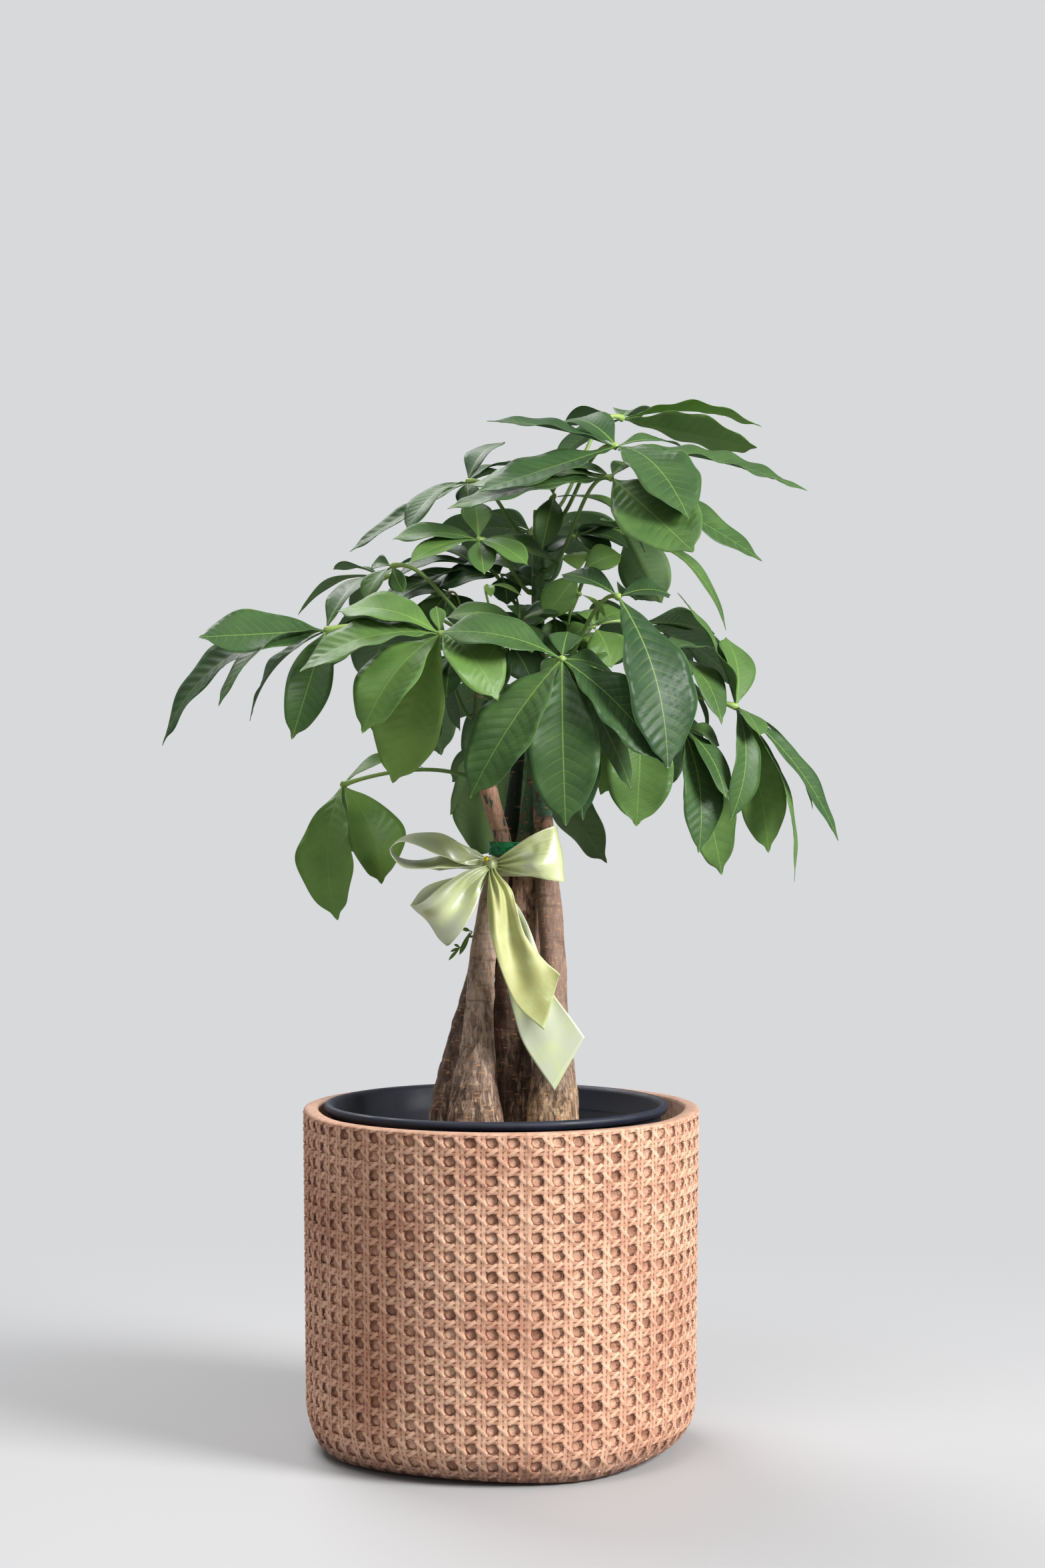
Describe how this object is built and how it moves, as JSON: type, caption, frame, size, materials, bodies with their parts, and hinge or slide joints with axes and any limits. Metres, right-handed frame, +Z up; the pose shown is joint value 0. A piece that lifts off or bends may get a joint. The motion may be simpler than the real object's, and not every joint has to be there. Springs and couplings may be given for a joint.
{
  "type": "potted money tree",
  "caption": "Tied-trunk money tree with hand-shaped leaves and a satin bow, in a nursery pot inside a cane-weave cast pot.",
  "frame": {"origin": "middle of the cast pot's underside, on the surface that it stands on", "axes": "+Z up along the pot's axis; the bow and the side seen in the picture face -Y; +X is to the right in that view"},
  "size_m": [0.4334, 0.2957, 0.6805],
  "materials": {
    "cast_concrete": "cast concrete in terracotta colour, matt, with a cane-weave relief and darker recesses",
    "black_polypropylene": "blow-moulded black polypropylene with a soft shine",
    "potting_mix": "loose peat and bark chips, matt",
    "bark": "thin brown bark with ring scars and cork pores, green on the young shoots",
    "green_tape": "green stretch tape, glossy",
    "satin_ribbon": "pale green polyester satin",
    "gold_bead": "yellow gold bead, polished",
    "leaf": "living leaf, satin upper side with pressed-in side veins, paler underside",
    "young_leaf": "young bright green leaf"
  },
  "bodies": {
    "root": {"cover_pot": "cast_concrete", "nursery_pot": "black_polypropylene", "potting_mix": "potting_mix", "trunk_front_left": "bark", "trunk_right": "bark", "trunk_centre": "bark", "trunk_back_left": "bark", "trunk_back": "bark", "tie_tape": "green_tape", "ribbon_loop_right": "satin_ribbon", "ribbon_loop_upper_left": "satin_ribbon", "ribbon_loop_lower_left": "satin_ribbon", "ribbon_tail_front": "satin_ribbon", "ribbon_tail_back": "satin_ribbon", "ribbon_wrap": "satin_ribbon", "ribbon_knot": "satin_ribbon", "bead": "gold_bead", "leaf_top_back": "leaf", "leaf_top_front": "leaf", "leaf_top_low": "leaf", "leaf_top_left": "leaf", "leaf_shoot_top": "leaf", "leaf_inner_bright": "leaf", "leaf_inner_dark": "leaf", "leaf_left_small": "leaf", "leaf_left_thin": "leaf", "leaf_far_left": "leaf", "leaf_front_left": "leaf", "leaf_front_centre": "leaf", "leaf_front_right": "leaf", "leaf_far_right": "leaf", "leaf_right_inner": "leaf", "leaf_right_low": "leaf", "leaf_front_low": "leaf", "leaf_right_back": "leaf", "leaf_low_left": "leaf", "leaf_behind_bow": "leaf", "leaf_centre_inner": "leaf", "leaf_left_inner": "leaf", "leaf_back_top": "leaf", "leaf_back_left": "leaf", "leaf_back_right": "leaf", "leaf_back_middle": "leaf", "leaf_back_low_left": "leaf", "leaf_back_low_right": "leaf", "leaf_young_left": "young_leaf", "leaf_young_right": "young_leaf", "young_shoot": "young_leaf"}
  },
  "joints": []
}
